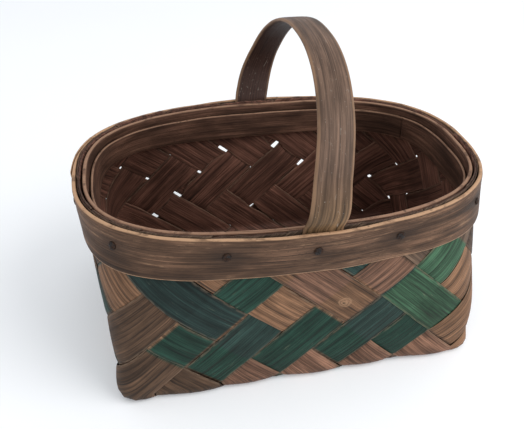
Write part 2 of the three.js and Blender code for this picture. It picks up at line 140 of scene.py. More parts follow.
def around_outline(z, distance_of):
    """Plan points at heights z; distance_of(total, t, mask) gives arc distances."""
    flat = np.clip(z, 0, HIGHEST_OUTLINE)
    base = np.floor(flat).astype(int)
    x = np.zeros_like(flat)
    y = np.zeros_like(flat)
    for level in np.unique(base):
        mask = base == level
        blend = flat[mask] - level
        parts = []
        for k in (level, level + 1):
            t = min(k / RIM_HEIGHT, 1.0)
            parts.append(on_level(k, distance_of(OUTLINE_ARC[k, -1], t, mask)))
        x[mask] = mix(parts[0][0], parts[1][0], blend)
        y[mask] = mix(parts[0][1], parts[1][1], blend)
    return x, y


def arc_of(s, total, t):
    """Arc distance of lattice position s; the cells are wider on the long walls."""
    sigma = s - HALF_LONG
    front = mix(FRONT_CELL[0], FRONT_CELL[1], min(t * 1.8, 1.0))
    mean = total / AROUND
    swing = (front - mean) * AROUND / (4 * math.pi)
    centre = mix(FRONT_CENTRE[0], FRONT_CENTRE[1], t) - BASE_SHIFT * (1 - t)
    return centre + mean * sigma + swing * np.sin(4 * math.pi * sigma / AROUND)


def profile(tau):
    """Inset and height at a distance tau over the fold between base and wall."""
    reach = FOLD_RADIUS * math.pi / 4
    angle = np.clip(tau / FOLD_RADIUS + math.pi / 4, 0, math.pi / 2)
    inset = FOLD_RADIUS * (1 - np.sin(angle)) + np.maximum(-tau - reach, 0)
    z = FOLD_RADIUS * (1 - np.cos(angle)) + np.maximum(tau - reach, 0)
    return inset, z


def reach_of(s):
    """Distance from the base's centre to its edge at lattice position s."""
    turn = 0.5 - 0.5 * np.cos(4 * math.pi * (s - HALF_LONG) / AROUND)
    return mix(BASE_HALF[1], BASE_HALF[0], turn)


def shell(s, tau):
    """Point on the basket's middle surface."""
    inset, z = profile(tau)
    x, y = around_outline(z, lambda total, t, mask: arc_of(s[mask], total, t))
    scale = 1 - inset / reach_of(s)
    shift = BASE_SHIFT * (1 - np.clip(z / RIM_HEIGHT, 0, 1))
    return np.stack([x * scale + shift, y * scale, z + SANDWICH], -1)


def base_points(p, q):
    """Points of the flat base: a regular lattice inside, meeting the walls' lattice at the edge."""
    share = np.maximum(np.abs(p) / HALF_LONG, np.abs(q) / HALF_SHORT)
    x = p * mix(62, BASE_HALF[0] / HALF_LONG, share ** 2)
    y = q * mix(60, BASE_HALF[1] / HALF_SHORT, share ** 2)
    inner = np.stack([x + FRONT_CENTRE[0], y, np.full_like(x, SANDWICH)], -1)
    safe = np.maximum(share, 0.05)
    u = p / safe
    v = q / safe
    end = np.abs(p) / HALF_LONG > np.abs(q) / HALF_SHORT
    s = np.where(v > 0, LONG_CELLS + SHORT_CELLS + HALF_LONG - u, HALF_LONG + u)
    s = np.where(end, np.where(u > 0, LONG_CELLS + HALF_SHORT + v, -(HALF_SHORT + v)), s)
    depth = (1 - share) * (reach_of(s) + EDGE_RISE - FOLD_RADIUS * (1 - math.pi / 4))
    outer = shell(s, EDGE_RISE - depth)
    return mix(inner, outer, smooth(0.3, 0.95, share)[:, None])


# ---- the weave ----

# Whether the rising strip of a crossing lies outside: one row per wall, by level.
RISING_OUTSIDE = {
    "front": (0, 1, 1, 0, 1, 0, 1),
    "right": (1, 0, 1, 1, 0, 1, 0),
    "back": (0, 0, 1, 1, 0, 0, 1),
    "left": (1, 0, 1, 1, 0, 1, 0),
}
# The crossings that the weaver made differently: (rising strip, level).
WEAVER_CHANGES = {(3, 2): 0, (3, 3): 1, (0, 4): 0, (17, 2): 0, (16, 3): 1, (16, 4): 0, (15, 3): 0,
                  (4, 1): 1}


def wall_of(s):
    """The wall that a lattice position lies on."""
    at = s % AROUND
    if at < LONG_CELLS:
        return "front"
    if at < LONG_CELLS + SHORT_CELLS:
        return "right"
    return "back" if at < 2 * LONG_CELLS + SHORT_CELLS else "left"


def rising_outside(strip, level):
    """Whether a rising strip lies outside at its crossing on a level."""
    key = (strip % AROUND, level)
    if key in WEAVER_CHANGES:
        return WEAVER_CHANGES[key] == 1
    return RISING_OUTSIDE[wall_of(strip + 0.5 + level / 2)][level] == 1


class Splint:
    """One strip: set 1 keeps p - q equal to its number, set 2 keeps p + q."""

    def __init__(self, group, number):
        self.group = group
        self.number = number
        self.low = max(number - SHORT_CELLS, -LONG_CELLS - number)
        self.high = min(number + SHORT_CELLS, LONG_CELLS - number)
        self.middle = (self.low + self.high) / 2
        self.first = self.low - WALL_LEVELS
        self.last = self.high + WALL_LEVELS
        self.node = "splint_%s_%02d" % ("ab"[group - 1], number + 5)

    def lattice(self, along, across):
        """Base lattice coordinates p and q."""
        own = self.number + across
        q = (along - own) / 2 if self.group == 1 else (own - along) / 2
        return (own + along) / 2, q

    def edge(self, at_low):
        """The wall that one end rises on, and its lattice position at the base edge."""
        p, q = self.lattice(self.low if at_low else self.high, 0.0)
        if abs(q) > HALF_SHORT - 0.01:
            s = HALF_LONG + p if q < 0 else LONG_CELLS + SHORT_CELLS + HALF_LONG - p
            return ("front" if q < 0 else "back"), s
        s = LONG_CELLS + HALF_SHORT + q if p > 0 else -(HALF_SHORT + q)
        return ("right" if p > 0 else "left"), s

    def unfold(self, along, across):
        """Base coordinates, position around the walls and level, for places on the strip."""
        p, q = self.lattice(along, across)
        s = np.zeros_like(p)
        level = np.zeros_like(p)
        for at_low in (True, False):
            mask = (along < self.middle) == at_low
            wall = self.edge(at_low)[0]
            if wall == "front":
                s[mask] = HALF_LONG + p[mask]
            elif wall == "back":
                s[mask] = LONG_CELLS + SHORT_CELLS + HALF_LONG - p[mask]
            elif wall == "right":
                s[mask] = LONG_CELLS + HALF_SHORT + q[mask]
            else:
                s[mask] = -(HALF_SHORT + q[mask])
            over = q if wall in ("front", "back") else p
            half = HALF_SHORT if wall in ("front", "back") else HALF_LONG
            level[mask] = 2 * (np.abs(over[mask]) - half)
        return p, q, s, level

    def surface(self, along, across):
        """Points of the basket's middle surface under places on the strip."""
        p, q, s, level = self.unfold(along, across)
        points = np.zeros((len(p), 3))
        wall = level > 0
        if wall.any():
            points[wall] = shell(s[wall], EDGE_RISE + level[wall] * LEVEL_RISE)
        if (~wall).any():
            points[~wall] = base_points(p[~wall], q[~wall])
        return points

    def normal(self, along, across):
        """Outward unit normals of the middle surface."""
        d = 0.02
        a = self.surface(along + d, across) - self.surface(along - d, across)
        b = self.surface(along, across + d) - self.surface(along, across - d)
        n = np.cross(a, b)
        n /= np.linalg.norm(n, axis=1)[:, None]
        here = self.surface(along, across) - np.array([0, 0, RIM_HEIGHT / 2])
        return n * np.where((n * here).sum(1) < 0, -1.0, 1.0)[:, None]

    def family(self, cell):
        """Family, base-edge index and level of a wall cell; None on the flat base."""
        beyond = max(self.low - cell, cell - self.high)
        if beyond < 0:
            return None
        wall, s = self.edge(cell < self.middle)
        rising = (wall in ("front", "back")) == (self.group == 2)
        return rising, math.floor(s), beyond

    def outside(self, cell):
        """Whether the strip lies outside at a cell."""
        found = self.family(cell)
        if found is None:
            first = self.number if self.group == 1 else cell
            second = cell if self.group == 1 else self.number
            return ((first + second) % 4 < 2) == (self.group == 1)
        rising, strip, level = found
        if rising:
            return rising_outside(strip, level)
        return not rising_outside(strip - level, level)


# Knots in the wood: splint, place along and across it, and size, in crossings.
KNOTS = [("splint_a_09", -3.05, -0.08, 0.17), ("splint_b_04", 4.2, -0.2, 0.12),
         ("splint_b_04", 3.9, -0.05, 0.1), ("splint_a_08", -1.8, 0.3, 0.08)]


# ---- colours of the floats that show on the outside ----

BROWN = (0.07, 0.04, 0.024)
DARK_BROWN = (0.05, 0.03, 0.02)
GREY_BROWN = (0.1, 0.064, 0.043)
LIGHT_BROWN = (0.18, 0.095, 0.052)
RED_BROWN = (0.17, 0.088, 0.056)
GREEN = (0.012, 0.038, 0.026)
DARK_TEAL = (0.012, 0.025, 0.022)
TEAL = (0.02, 0.042, 0.035)
MID_GREEN = (0.034, 0.078, 0.043)

# The paint of the floats that show it: (strip is rising, base-edge index, level).
PAINT = {
    (False, 1, 2): GREEN, (False, 1, 5): TEAL,
    (False, 2, 3): DARK_TEAL, (False, 2, 4): DARK_TEAL, (False, 2, 5): DARK_TEAL,
    (False, 0, 3): TEAL,
    (True, 0, 1): GREEN, (True, 0, 2): TEAL,
    (True, 1, 1): GREEN, (True, 1, 2): GREEN,
    (True, 2, 1): GREEN, (True, 2, 2): TEAL,
    (True, 3, 1): GREEN,
    (True, 17, 4): GREEN,
    (False, 5, 2): MID_GREEN, (False, 5, 3): MID_GREEN,
    (True, 2, 4): MID_GREEN,
}
# The bare wood of the floats whose shade stands out, by the same key.
WOOD = {
    (True, 15, 4): BROWN, (True, 16, 2): BROWN, (True, 16, 3): BROWN,
    (True, 17, 0): BROWN, (True, 17, 1): BROWN, (True, 14, 6): BROWN,
    (False, 0, 0): BROWN,
    (False, 3, 3): LIGHT_BROWN, (False, 4, 3): LIGHT_BROWN, (False, 4, 4): RED_BROWN,
    (True, 1, 4): RED_BROWN, (True, 3, 3): LIGHT_BROWN, (True, 3, 4): LIGHT_BROWN,
    (True, 4, 1): LIGHT_BROWN, (True, 4, 2): LIGHT_BROWN,
    (False, 1, 0): RED_BROWN, (False, 2, 0): RED_BROWN, (False, 3, 0): RED_BROWN,
    (False, 4, 0): RED_BROWN,
}
INSIDE = (0.14, 0.064, 0.044)
# Splints that are also painted on the base and on the back and end walls.
PAINTED = ["splint_a_04", "splint_a_06", "splint_a_07", "splint_b_01", "splint_b_02",
           "splint_b_03", "splint_b_04", "splint_b_06"]


# ---- mesh helpers ----

def make_object(name, points, faces, material):
    """A smooth-shaded mesh object, from points in millimetres."""
    mesh = bpy.data.meshes.new(name)
    mesh.from_pydata([tuple(v) for v in np.asarray(points) * MM], [], faces)
    mesh.validate()
    obj = bpy.data.objects.new(name, mesh)
    bpy.context.scene.collection.objects.link(obj)
    mesh.materials.append(material)
    mesh.polygons.foreach_set("use_smooth", [True] * len(mesh.polygons))
    return obj


def set_scalar(obj, name, values):
    layer = obj.data.attributes.new(name, "FLOAT", "POINT")
    layer.data.foreach_set("value", np.asarray(values, dtype=np.float32))


def set_colour(obj, name, values):
    layer = obj.data.attributes.new(name, "FLOAT_COLOR", "POINT")
    layer.data.foreach_set("color", np.asarray(values, dtype=np.float32).ravel())


def set_grain(obj, coordinates):
    """UV map in metres along and across the grain, one value per vertex."""
    layer = obj.data.uv_layers.new(name="grain")
    index = np.empty(len(obj.data.loops), dtype=np.int32)
    obj.data.loops.foreach_get("vertex_index", index)
    layer.data.foreach_set("uv", np.asarray(coordinates, dtype=np.float32)[index].ravel())


def wave(values, seed, scale):
    """Smooth deterministic noise between -1 and 1."""
    local = np.random.default_rng(seed)
    total = np.zeros_like(values, dtype=float)
    for octave in range(3):
        phase = local.uniform(0, 2 * math.pi)
        rate = scale * 1.9 ** octave * local.uniform(0.85, 1.15)
        total += np.sin(values * rate + phase) / 1.6 ** octave
    return total / 2.2


# ---- splints ----

def tint_of(splint, cell):
    """Colour and paint share of the outer side of the float that covers this cell."""
    local = np.random.default_rng(1000 * splint.group + 40 * (splint.number + 5) + cell + 30)
    shade = local.uniform(0.82, 1.18)
    found = splint.family(cell)
    painted = splint.node in PAINTED
    if found is None:
        colour, paint = (GREEN, 1.0) if painted else (DARK_BROWN, 0.0)
    else:
        rising, strip, level = found
        key = (rising, strip % AROUND, level)
        if level == WALL_LEVELS:
            colour, paint = GREY_BROWN, 0.0
        elif key in PAINT:
            colour, paint = PAINT[key], 1.0
        elif key in WOOD:
            colour, paint = WOOD[key], 0.0
        elif wall_of(strip) == "front" or level == 0:
            colour, paint = (BROWN, GREY_BROWN, LIGHT_BROWN)[local.integers(3)], 0.0
        elif painted:
            colour, paint = (GREEN, TEAL)[local.integers(2)], 1.0
        else:
            colour, paint = (BROWN, DARK_BROWN, GREY_BROWN)[local.integers(3)], 0.0
    return np.array(colour) * shade, paint


HALF_WIDTH = 0.497
EDGE_WANDER = 0.006
# Daylight shows between the strips at these corners of the back and right walls: position around and
# level, then how far the edges of the rising and of the falling strips draw back, in crossings.
OPEN_CORNERS = [(12, 4, 0.04, 0.13), (11, 4, 0.11, 0.04), (10.5, 3, 0.1, 0.03),
                (12.5, 3, 0.035, 0.035), (13.5, 3, 0.03, 0.03), (13, 2, 0.03, 0.12),
                (14, 4, 0.025, 0.025), (11.5, 1, 0.06, 0.025), (13.5, 1, 0.03, 0.09),
                (9, 2, 0.03, 0.05), (8.5, 1, 0.025, 0.04), (8.5, 3, 0.02, 0.03),
                (8, 4, 0.02, 0.02), (9.5, 1, 0.04, 0.12)]
PULL_LENGTH = 0.42
END_CUT = 1.5
# Section of a splint: places across it, and the share of the thickness there.
ACROSS = np.array([-1, -0.975, -0.9, -0.72, -0.48, -0.24, 0, 0.24, 0.48, 0.72, 0.9, 0.975, 1])
EDGE_THICKNESS = np.array([0.35, 0.8, 1, 1, 1, 1, 1, 1, 1, 1, 1, 0.8, 0.35])
ROWS_PER_CELL = 14
LOWEST = 0.05
BEND = 0.15


def drawn_back(splint, along, side):
    """How far one edge of a strip draws back from the open corners that it passes."""
    across = np.full_like(along, 0.5 * side)
    here = splint.unfold(along, across)
    ahead = splint.unfold(along + 0.01, across)
    goes_up_right = (ahead[2] - here[2]) * (ahead[3] - here[3]) > 0
    total = np.zeros_like(along)
    for s, level, rising, falling in OPEN_CORNERS:
        around = np.abs((here[2] - s + AROUND / 2) % AROUND - AROUND / 2)
        away = np.hypot(around * 2, here[3] - level)
        total += np.where(goes_up_right, rising, falling) * np.exp(-(away / PULL_LENGTH) ** 2)
    return total


def float_offsets(splint, along):
    """Height of the strip's middle over the wall surface, in mm, and the bow of its floats."""
    cells = list(range(splint.first, splint.last + 1))
    side = [splint.outside(c) for c in cells]
    height = np.full_like(along, LAYER if side[0] else -LAYER)
    for k in range(1, len(cells)):
        change = (int(side[k]) - int(side[k - 1])) * 2 * LAYER
        at = cells[k] - 0.5
        height = height + change * smooth(at - BEND, at + BEND, along)
    bow = np.zeros_like(along)
    start = 0
    for k in range(1, len(cells) + 1):
        if k == len(cells) or side[k] != side[start]:
            a = cells[start] - 0.5
            b = cells[k - 1] + 0.5
            inside_run = (along > a) & (along < b)
            lift = (0.5 + 0.4 * (b - a)) if side[start] else -0.35
            bow[inside_run] = lift * np.sin(math.pi * (along[inside_run] - a) / (b - a)) ** 0.8
            start = k
    return height, bow


def strip_widths(splint, line, seed):
    """Places across the strip for every row, with edges that wander and draw back."""
    right = HALF_WIDTH - EDGE_WANDER * (1 + wave(line, seed, 2.4)) - drawn_back(splint, line, 1)
    left = HALF_WIDTH - EDGE_WANDER * (1 + wave(line, seed + 31, 2.1)) - drawn_back(splint, line, -1)
    return np.where(ACROSS > 0, np.outer(right, ACROSS), np.outer(left, ACROSS))


def cut_ends(splint, line, across, seed):
    """Places along the strip, whose ends are cut raggedly along the rim and not square."""
    along = np.repeat(line[:, None], len(ACROSS), 1)
    for end, sign in ((splint.first, -1), (splint.last, 1)):
        level = splint.unfold(np.array([end, end], float), np.array([0.0, 0.1]))[3]
        slope = (level[1] - level[0]) * 10 * -sign
        ragged = 0.045 * wave(ACROSS * 9, seed + end + 90, 1.3) + rng.uniform(-0.03, 0.09)
        near_end = smooth(end - sign * END_CUT, end, line)
        along = along + near_end[:, None] * (slope * across + ragged[None, :] * sign)
    return along


def strip_skins(splint, line, along, across):
    """Outer then inner points, and whether along and across turn anticlockwise seen from outside."""
    a = along.ravel()
    c = across.ravel()
    surface = splint.surface(a, c)
    normal = splint.normal(a, c)
    height, bow = float_offsets(splint, line)
    level = splint.unfold(a, c)[3].reshape(along.shape)
    crown = 1 - ACROSS[None, :] ** 2 * 0.75
    near_base = np.clip(1 - np.abs(level) / 2.5, 0, 1)
    below_rim = smooth(4.9, 4.3, level)
    on_wall = smooth(-0.9, 0.1, level)
    cells = np.arange(splint.first, splint.last + 1)
    tilt = np.interp(line, cells, rng.uniform(-0.5, 0.5, len(cells)))
    showing = np.clip(height / LAYER, 0, 1) * np.clip(bow, 0, 1)
    tilted = (tilt * showing)[:, None] * ACROSS[None, :] * (1 + near_base) * below_rim * on_wall
    lifted = bow[:, None] * crown * below_rim * (0.8 + 2.2 * near_base) * on_wall + tilted
    middle = height[:, None] + lifted
    half = SPLINT_THICKNESS / 2 * EDGE_THICKNESS[None, :]
    outer = surface + normal * (middle + half).ravel()[:, None]
    inner = surface + normal * (middle - half).ravel()[:, None]
    skins = np.concatenate([outer, inner])
    skins[:, 2] = np.maximum(skins[:, 2], LOWEST)
    rows, cols = along.shape
    mid = rows // 2 * cols + cols // 2
    step_along = surface[mid + cols] - surface[mid]
    step_across = surface[mid + 1] - surface[mid]
    return skins, np.dot(np.cross(step_along, step_across), normal[mid]) > 0


def strip_faces(rows, cols, anticlockwise):
    """Faces of both skins of a grid, closed by a strip round its border."""
    inner = rows * cols
    faces = []
    for i in range(rows - 1):
        for j in range(cols - 1):
            k = i * cols + j
            quad = [k, k + cols, k + cols + 1, k + 1]
            back = [v + inner for v in reversed(quad)]
            faces.extend([quad, back] if anticlockwise else [quad[::-1], back[::-1]])
    border = [i * cols for i in range(rows)] + [(rows - 1) * cols + j for j in range(1, cols)]
    border += [i * cols + cols - 1 for i in range(rows - 2, -1, -1)]
    border += list(range(cols - 2, 0, -1))
    for a, b in zip(border, border[1:] + border[:1]):
        side = [b, a, a + inner, b + inner]
        faces.append(side if anticlockwise else side[::-1])
    return faces


def colour_strip(obj, splint, line, along, across):
    """Colour, paint, edge and knot values for the material, and the grain's coordinates."""
    rows, cols = along.shape
    cell = np.clip(np.rint(line), splint.first, splint.last).astype(int)
    colours = np.zeros((rows, 3))
    paints = np.zeros(rows)
    for value in np.unique(cell):
        colour, paint = tint_of(splint, int(value))
        colours[cell == value] = colour
        paints[cell == value] = paint
    outside = np.ones((rows, cols, 4))
    outside[..., :3] = colours[:, None, :]
    inside = np.ones((rows, cols, 4))
    cells = np.arange(splint.first, splint.last + 1)
    shades = np.interp(line, cells, rng.uniform(0.65, 1.35, len(cells)))
    inside[..., :3] = np.array(INSIDE) * shades[:, None, None]
    set_colour(obj, "tint", np.concatenate([outside.reshape(-1, 4), inside.reshape(-1, 4)]))
    painted = np.repeat(paints[:, None], cols, 1).ravel()
    set_scalar(obj, "paint", np.concatenate([painted, np.zeros(rows * cols)]))
    edge = np.repeat(np.abs(ACROSS)[None, :], rows, 0).ravel()
    set_scalar(obj, "edge", np.concatenate([edge, edge]))
    a = along.ravel()
    c = across.ravel()
    knot = np.full(len(a), 1.0)
    for name, knot_along, knot_across, size in KNOTS:
        if name == splint.node:
            knot = np.minimum(knot, np.hypot((a - knot_along) * 0.75, c - knot_across) / size)
    set_scalar(obj, "knot", np.concatenate([knot, knot]))
    offset = splint.number * 1.37 + splint.group * 17.3
    grain = np.stack([a * 0.0425, c * 0.042 + offset], -1)
    set_grain(obj, np.concatenate([grain, grain + np.array([0, 5.1])]))


def build_splint(splint, material):
    """One strip as a closed mesh, which passes over and under the other set."""
    rows = (splint.last - splint.first) * ROWS_PER_CELL + 1
    line = np.linspace(splint.first, splint.last, rows)
    seed = 100 * splint.group + splint.number + 10
    across = strip_widths(splint, line, seed)
    along = cut_ends(splint, line, across, seed)
    points, anticlockwise = strip_skins(splint, line, along, across)
    faces = strip_faces(rows, len(ACROSS), anticlockwise)
    obj = make_object("plait_" + splint.node[7:], points, faces, material)
    colour_strip(obj, splint, line, along, across)
    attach(obj, "root")
    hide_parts(splint.node)
    return obj


# ---- rim hoops ----

def wall_at(share, z, offset):
    """Points on the wall at one height, moved outward; share is an array round the rim."""
    level = z - SANDWICH
    base = int(level)
    x = np.zeros_like(share)
    y = np.zeros_like(share)
    nx = np.zeros_like(share)
    ny = np.zeros_like(share)
    for k, weight in ((base, 1 - (level - base)), (base + 1, level - base)):
        distance = share * OUTLINE_ARC[k, -1]
        px, py = on_level(k, distance)
        ax, ay = on_level(k, distance - 3)
        bx, by = on_level(k, distance + 3)
        length = np.hypot(bx - ax, by - ay)
        x += weight * px
        y += weight * py
        nx += weight * (by - ay) / length
        ny += weight * (ax - bx) / length
    shift = BASE_SHIFT * (1 - min(level / RIM_HEIGHT, 1))
    return np.stack([x + nx * offset + shift, y + ny * offset, np.full_like(x, z)], -1)


def rim_at(share, z, offset):
    """Points on the straight band between the hoop's bottom and the rim."""
    low = wall_at(share, HOOP_BOTTOM, offset)
    high = wall_at(share, RIM_HEIGHT, offset)
    z = np.broadcast_to(z, share.shape)
    return mix(low, high, ((z - HOOP_BOTTOM) / HOOP_HEIGHT)[:, None])


def leg_bulge(share):
    """How far the outer hoop is pushed out where it passes over the handle's feet."""
    point = wall_at(share, RIM_HEIGHT, np.zeros_like(share))
    away = np.abs(point[:, 0] - HANDLE_X)
    extra = HANDLE_FOOT_THICKNESS + 2 * GAP - OUTER_GAP
    bulge = extra * (1 - smooth(HANDLE_WIDTH * 0.62, BULGE_REACH, away))
    return np.where(np.abs(point[:, 1]) < RIM_HALF[1] / 2, 0, bulge)


def ring_faces(size, rings):
    """Faces of a row of rings, with flat ends."""
    faces = []
    for i in range(rings - 1):
        for j in range(size):
            k = (j + 1) % size
            faces.append([i * size + j, i * size + k, (i + 1) * size + k, (i + 1) * size + j])
    faces.append(list(range(size))[::-1])
    faces.append([(rings - 1) * size + j for j in range(size)])
    return faces


def build_hoop(name, node, material, inner, thickness, top, bottom, lap_at, bulge, ease, seed):
    """One bent strip, more than a full turn long, whose tapered ends lie over each other."""
    lap = LAP_LENGTH / RIM_LENGTH
    turns = np.linspace(0, 1 + lap, 420)
    share = lap_at + turns
    base = inner + (leg_bulge(share) if bulge else 0)
    low = base + np.zeros_like(turns)
    high = base + thickness
    first = turns <= lap
    high = np.where(first, base + mix(LAP_TIP, thickness, turns / lap) - GAP / 2, high)
    over = turns >= 1
    past = np.clip((turns - 1) / lap, 0, 1)
    low = np.where(over, base + mix(LAP_TIP, thickness, past) + GAP / 2, low)
    high = np.where(over, base + thickness + LAP_TIP * past, high)
    top_line = top + 0.45 * wave(turns, seed, 45) - 0.25
    bottom_line = bottom + 0.6 * wave(turns, seed + 1, 38) + 0.3
    # Section corners, anticlockwise: fraction through the thickness and up the height.
    sides = np.array([0, 0.06, 0.2, 0.4, 0.6, 0.8, 0.94, 1])
    section = [(0.3, 0), (0.7, 0)] + [(1, f) for f in sides] + [(0.7, 1), (0.3, 1)]
    section += [(0, f) for f in sides[::-1]]
    points = []
    heights = []
    for through, up in section:
        corner = through in (0, 1) and up in (0, 1)
        rounding = np.minimum(ease * 0.5, (high - low) / 3) if corner else 0
        drop = ease * 0.5 if corner else 0.0
        offset = mix(low, high, through)
        offset = offset + (rounding if through == 0 else -rounding if through == 1 else 0)
        if through == 1:
            offset = offset + 0.22 * wave(turns + up * 0.11, seed + 5, 70)
        z = mix(bottom_line, top_line, up)
        z = z + (drop if up == 0 else -drop if up == 1 else 0)
        points.append(rim_at(share, z, offset))
        heights.append(np.full_like(turns, up))
    points = np.stack(points, 1).reshape(-1, 3)
    obj = make_object(name, points, ring_faces(len(section), len(turns)), material)
    up = np.stack(heights, 1).ravel()
    set_scalar(obj, "edge", np.abs(up * 2 - 1))
    stain = np.zeros(len(points))
    for distance in NAILS:
        at = rim_at(np.array([distance / RIM_LENGTH]), RIM_HEIGHT - NAIL_DROP, np.array([4.0]))[0]
        away = points - at
        flat = (away[:, 0] ** 2 + away[:, 1] ** 2) / STAIN_REACH[0] ** 2
        reach = np.sqrt(flat + away[:, 2] ** 2 / STAIN_REACH[1] ** 2)
        stain = np.maximum(stain, np.exp(-reach ** 2))
    set_scalar(obj, "stain", stain)
    z = points[:, 2] * MM
    along = np.repeat(turns, len(section)) * RIM_LENGTH * MM
    set_grain(obj, np.stack([along, z + seed * 0.71], -1))
    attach(obj, "root")
    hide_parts(node)
    return obj


# ---- handle ----

HANDLE_STEPS = 260
HANDLE_FLATS = (-1, -0.6, 0, 0.6, 1)
# The inner face's grain is shifted by this many metres, so that it differs from the outer face's.
INNER_GRAIN = 0.004


def handle_foot(z):
    """Distance from the middle, and height, of the foot's line between the hoops."""
    offset = SANDWICH + GAP + HANDLE_FOOT_THICKNESS / 2
    return abs(wall_at(np.array([0.0]), z, np.array([offset]))[0, 1]), z


def handle_line():
    """Knots of the bow's middle line, from the front foot to the back one."""
    half = [handle_foot(z) for z in (HANDLE_FOOT, 164, 177, 188)]
    half += [(129, 197), (133.4, 208), (135, 221), (131.8, 235), (124.2, 248), (110, 266),
             (90, 282), (64, 295), (33, 303)]
    plan = [(-y, z) for y, z in half] + [(0, 305.2)] + half[::-1]
    knots = []
    for y, z in plan:
        rise = max(0, z - RIM_HEIGHT)
        settle = 1 - smooth(RIM_HEIGHT, HANDLE_SETTLED, z)
        shift = settle * (FRONT_FOOT_SHIFT if y < 0 else BACK_FOOT_SHIFT)
        knots.append((HANDLE_X + shift + HANDLE_LEAN[0] * rise, y + HANDLE_LEAN[1] * rise, z))
    return np.array(knots)


def centripetal(knots, steps):
    """Smooth curve through the knots, with spacing that follows the square root of distance."""
    ends = np.concatenate([[2 * knots[0] - knots[1]], knots, [2 * knots[-1] - knots[-2]]])
    line = []
    for i in range(steps + 1):
        at = i / steps * (len(knots) - 1)
        k = min(int(at), len(knots) - 2)
        p = ends[k:k + 4]
        t = np.concatenate([[0], np.cumsum(np.linalg.norm(np.diff(p, axis=0), axis=1) ** 0.5)])
        u = mix(t[1], t[2], at - k)
        q = list(p)
        for order in (1, 2, 3):
            for j in range(4 - order):
                low, high = (t[j], t[j + order]) if order < 3 else (t[1], t[2])
                q[j] = ((high - u) * q[j] + (u - low) * q[j + 1]) / (high - low)
        line.append(q[0])
    return np.array(line)


def handle_section():
    """Section points as shares of half the width and half the thickness; 1 faces inward."""
    outer = [(w, -1) for w in HANDLE_FLATS]
    inner = [(w, 1) for w in HANDLE_FLATS[::-1]]
    return outer + [(1.0, 0.0)] + inner + [(-1.0, 0.0)]


def build_handle(material):
    """The bow: a flat section swept along its middle line."""
    steps = HANDLE_STEPS
    line = centripetal(handle_line(), steps)
    tangent = np.gradient(line, axis=0)
    tangent /= np.linalg.norm(tangent, axis=1)[:, None]
    across = np.array([1.0, 0, 0]) - tangent * tangent[:, :1]
    across /= np.linalg.norm(across, axis=1)[:, None]
    outward = np.cross(tangent, across)
    thick = mix(HANDLE_FOOT_THICKNESS, HANDLE_THICKNESS, smooth(*HANDLE_THICKENING, line[:, 2])) / 2
    wide = mix(HANDLE_FOOT_WIDTH, HANDLE_WIDTH, smooth(*HANDLE_NARROWING, line[:, 2])) / 2
    wide = wide + 0.35 * wave(np.arange(steps + 1.0), 61, 0.05)
    worn = 1 - 0.15 * smooth(*HANDLE_TOP_WEAR, line[:, 2])
    section = handle_section()
    ring = []
    for w, t in section:
        corner = abs(w) == 1 and abs(t) == 1
        sideways = wide * w * (1 if t == 0 else 0.965 if corner else 1)
        depth = thick * t * (0.72 if corner else 1.0) * worn
        ring.append(line + across * sideways[:, None] + outward * depth[:, None])
    points = np.stack(ring, 1).reshape(-1, 3)
    obj = make_object("bow_handle", points, ring_faces(len(section), steps + 1), material)
    length = np.concatenate([[0], np.cumsum(np.linalg.norm(np.diff(line, axis=0), axis=1))])
    u = np.repeat(length, len(section)) * MM
    v = np.tile(np.array([w for w, t in section]) * HANDLE_WIDTH / 2 * MM, steps + 1)
    v += np.tile(np.array([INNER_GRAIN if t > 0 else 0 for w, t in section]), steps + 1)
    set_grain(obj, np.stack([u, v + 3.3], -1))
    set_scalar(obj, "edge", np.tile(np.abs([w for w, t in section]), steps + 1))
    set_scalar(obj, "height", points[:, 2] * MM)
    # Marks the bow's inner face, which the material colours with painted shade.
    shaded_inner_side = np.tile([1.0 if t > 0 else 0.0 for w, t in section], steps + 1)
    set_scalar(obj, "under", shaded_inner_side)
    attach(obj, "root")
    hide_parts("handle_bow")
    modifier = obj.modifiers.new("soften", "SUBSURF")
    modifier.levels = 1
    modifier.render_levels = 1
    return obj


# ---- nails ----

# The hammered head, from its top down: radius and height over the hoop's face.
NAIL_HEAD = [(0.35, 1.7), (1.6, 1.62), (2.8, 1.35), (3.6, 0.95), (3.9, 0.5), (3.7, 0.2)]
NAIL_SHANK = 1.05
NAIL_SIDES = 20


def build_nail(number, distance, material):
    """A nail through hoop, splints and band, with a hammered head."""
    z = np.array([RIM_HEIGHT - NAIL_DROP])
    share = np.array([distance / RIM_LENGTH])
    face = SANDWICH + OUTER_GAP + HOOP_THICKNESS + leg_bulge(share)
    head = rim_at(share, z, face)[0]
    around = rim_at(share + 0.004, z, face)[0] - rim_at(share - 0.004, z, face)[0]
    up = rim_at(share, z + 5, face)[0] - rim_at(share, z - 5, face)[0]
    outward = np.cross(around, up)
    outward /= np.linalg.norm(outward)
    side = around / np.linalg.norm(around)
    top = np.cross(outward, side)
    local = np.random.default_rng(number)
    reach = face[0] + SANDWICH + INNER_GAP + HOOP_THICKNESS + BAND_THICKNESS
    rings = NAIL_HEAD + [(NAIL_SHANK, 0.15), (NAIL_SHANK, -reach - 0.4), (0.5, -reach - 1.2)]
    sides = NAIL_SIDES
    points = []
    for radius, out in rings:
        for k in range(sides):
            angle = 2 * math.pi * k / sides
            uneven = 1 + (0.07 * math.sin(2 * angle + number) if radius > 1.2 else 0)
            dent = local.uniform(-0.1, 0.1) if out > 0.9 else 0
            points.append(head + (side * math.cos(angle) + top * math.sin(angle)) * radius * uneven
                          + outward * (out + dent))
    obj = make_object("nail_%02d" % number, points, ring_faces(sides, len(rings)), material)
    set_grain(obj, np.array(points)[:, :2] * MM)
    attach(obj, "root")
    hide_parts("rim_nail_%02d" % number)
    return obj


# ---- materials ----

